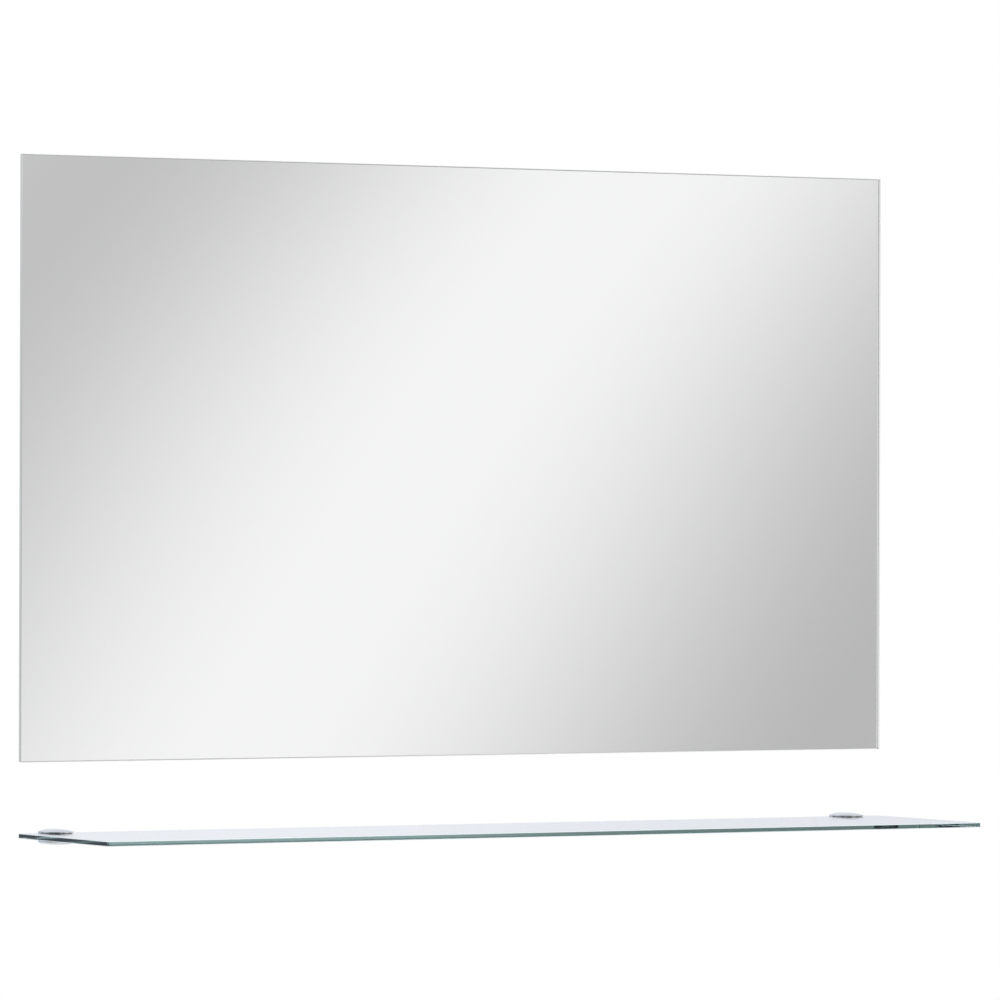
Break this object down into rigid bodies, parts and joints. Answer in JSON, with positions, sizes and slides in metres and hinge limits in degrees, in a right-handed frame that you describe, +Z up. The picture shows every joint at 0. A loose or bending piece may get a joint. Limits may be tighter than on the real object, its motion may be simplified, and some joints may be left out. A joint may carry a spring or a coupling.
{
  "type": "mirror with shelf",
  "caption": "Frameless rectangular wall mirror with a separate clear glass shelf below it, held by D-shaped chrome clamps.",
  "frame": {"origin": "on the wall plane, midway between the two shelf clamps' wall screw holes", "axes": "+X to the viewer's right, +Y into the wall, +Z up"},
  "size_m": [1, 0.2065, 0.6812],
  "materials": {
    "mirror_sheet": "polished float glass",
    "silvering": "mirror silver",
    "back_paint": "matt protective paint",
    "zinc_steel": "zinc-plated steel sheet",
    "foam_tape": "white foam",
    "black_rubber": "matt moulded rubber",
    "clear_glass": "clear toughened glass, polished edges",
    "chrome_casting": "bright chrome plating",
    "clear_pad": "clear soft sheet",
    "nylon_pad": "natural nylon",
    "screw_steel": "plain machined steel"
  },
  "bodies": {
    "wall_side": {"left_wall_hook": "zinc_steel", "right_wall_hook": "zinc_steel", "left_clamp_body": "chrome_casting", "right_clamp_body": "chrome_casting", "left_upper_pad": "clear_pad", "right_upper_pad": "clear_pad"},
    "mirror": {"mirror_glass": "mirror_sheet", "silver_layer": "silvering", "backing_paint": "back_paint", "left_hanger_plate": "zinc_steel", "right_hanger_plate": "zinc_steel", "left_hanger_tape": "foam_tape", "right_hanger_tape": "foam_tape", "left_bumper": "black_rubber", "right_bumper": "black_rubber"},
    "shelf": {"shelf_glass": "clear_glass"},
    "left_pad": {"left_lower_pad": "nylon_pad"},
    "left_screw": {"left_clamp_screw": "screw_steel"},
    "right_pad": {"right_lower_pad": "nylon_pad"},
    "right_screw": {"right_clamp_screw": "screw_steel"}
  },
  "joints": [
    {"name": "mirror_lift", "type": "slide", "parent": "wall_side", "child": "mirror", "axis": [0, 0, 1], "range_m": [0, 0.007]},
    {"name": "shelf_slide", "type": "slide", "parent": "wall_side", "child": "shelf", "axis": [0, -1, 0], "range_m": [0, 0.03]},
    {"name": "left_pad_travel", "type": "slide", "parent": "wall_side", "child": "left_pad", "axis": [0, 0, -1], "range_m": [0, 0.0016]},
    {"name": "left_screw_turn", "type": "hinge", "parent": "left_pad", "child": "left_screw", "pos_m": [-0.46, -0.01825, -0.006], "axis": [0, 0, -1], "range_deg": [0, 720]},
    {"name": "right_pad_travel", "type": "slide", "parent": "wall_side", "child": "right_pad", "axis": [0, 0, -1], "range_m": [0, 0.0016]},
    {"name": "right_screw_turn", "type": "hinge", "parent": "right_pad", "child": "right_screw", "pos_m": [0.46, -0.01825, -0.006], "axis": [0, 0, -1], "range_deg": [0, 720]}
  ],
  "couplings": [
    {"joint": "left_screw_turn", "follows": "left_pad_travel", "rad_per_m": 7853.9},
    {"joint": "right_screw_turn", "follows": "right_pad_travel", "rad_per_m": 7853.9}
  ]
}
